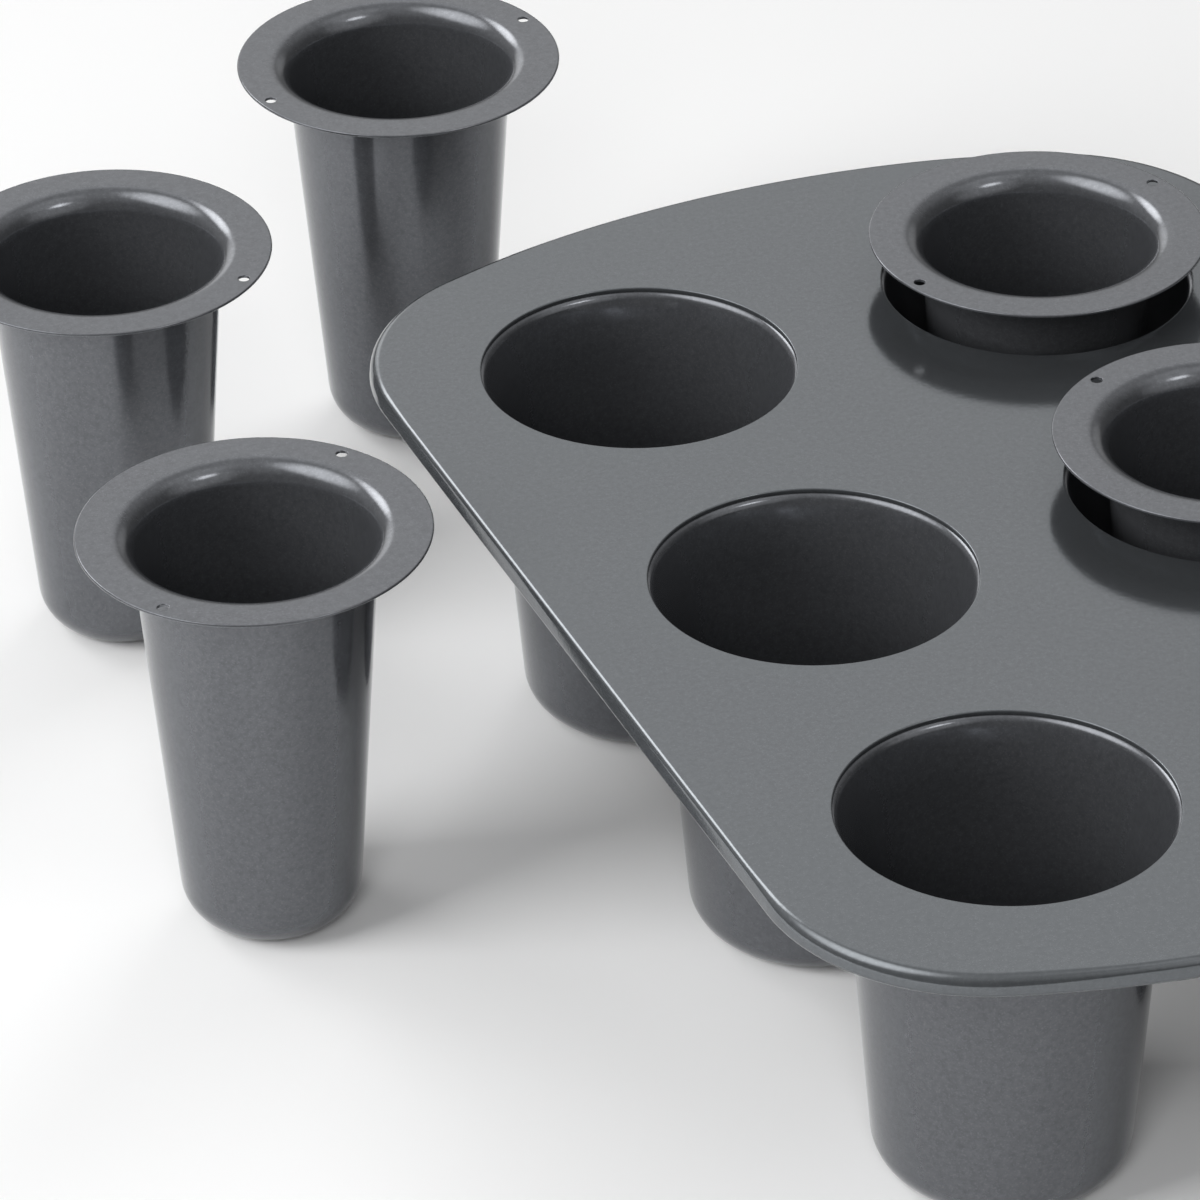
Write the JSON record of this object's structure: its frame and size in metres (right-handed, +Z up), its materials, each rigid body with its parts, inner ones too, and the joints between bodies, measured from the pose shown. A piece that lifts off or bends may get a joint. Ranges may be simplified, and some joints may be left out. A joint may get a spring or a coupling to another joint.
{
  "type": "cookie shot glass mould",
  "caption": "Non-stick baking pan of deep round wells under a flat plate with a rolled rim, with loose flanged cup inserts that shape dough into edible shot glasses.",
  "frame": {"origin": "on the table, under the middle of the footprint of the whole set as it is laid out", "axes": "+Z up, +Y along the rows of the pan towards its back, +X across its columns towards the wells with seated inserts"},
  "size_m": [0.2568, 0.3726, 0.0837],
  "materials": {
    "plate_coating": "satin dark grey non-stick coating with fine metallic speckle",
    "well_coating": "satin dark grey non-stick coating with fine metallic speckle",
    "insert_coating": "satin dark grey non-stick coating with fine metallic speckle"
  },
  "bodies": {
    "pan": {"tray_plate": "plate_coating", "well_front_left": "well_coating", "well_middle_left": "well_coating", "well_back_left": "well_coating", "well_front_right": "well_coating", "well_middle_right": "well_coating", "well_back_right": "well_coating"},
    "insert_seated_front": {"insert_seated_front": "insert_coating"},
    "insert_seated_middle": {"insert_seated_middle": "insert_coating"},
    "insert_seated_back": {"insert_seated_back": "insert_coating"},
    "insert_standing_front": {"insert_standing_front": "insert_coating"},
    "insert_standing_left": {"insert_standing_left": "insert_coating"},
    "insert_standing_back": {"insert_standing_back": "insert_coating"}
  },
  "joints": [
    {"name": "lift_seated_front", "type": "slide", "parent": "pan", "child": "insert_seated_front", "axis": [0, 0, 1], "range_m": [0, 0.095]},
    {"name": "lift_seated_middle", "type": "slide", "parent": "pan", "child": "insert_seated_middle", "axis": [0, 0, 1], "range_m": [0, 0.095]},
    {"name": "lift_seated_back", "type": "slide", "parent": "pan", "child": "insert_seated_back", "axis": [0, 0, 1], "range_m": [0, 0.095]},
    {"name": "lift_standing_front", "type": "slide", "parent": "pan", "child": "insert_standing_front", "axis": [0, 0, 1], "range_m": [0, 0.095]},
    {"name": "lift_standing_left", "type": "slide", "parent": "pan", "child": "insert_standing_left", "axis": [0, 0, 1], "range_m": [0, 0.095]},
    {"name": "lift_standing_back", "type": "slide", "parent": "pan", "child": "insert_standing_back", "axis": [0, 0, 1], "range_m": [0, 0.095]}
  ]
}
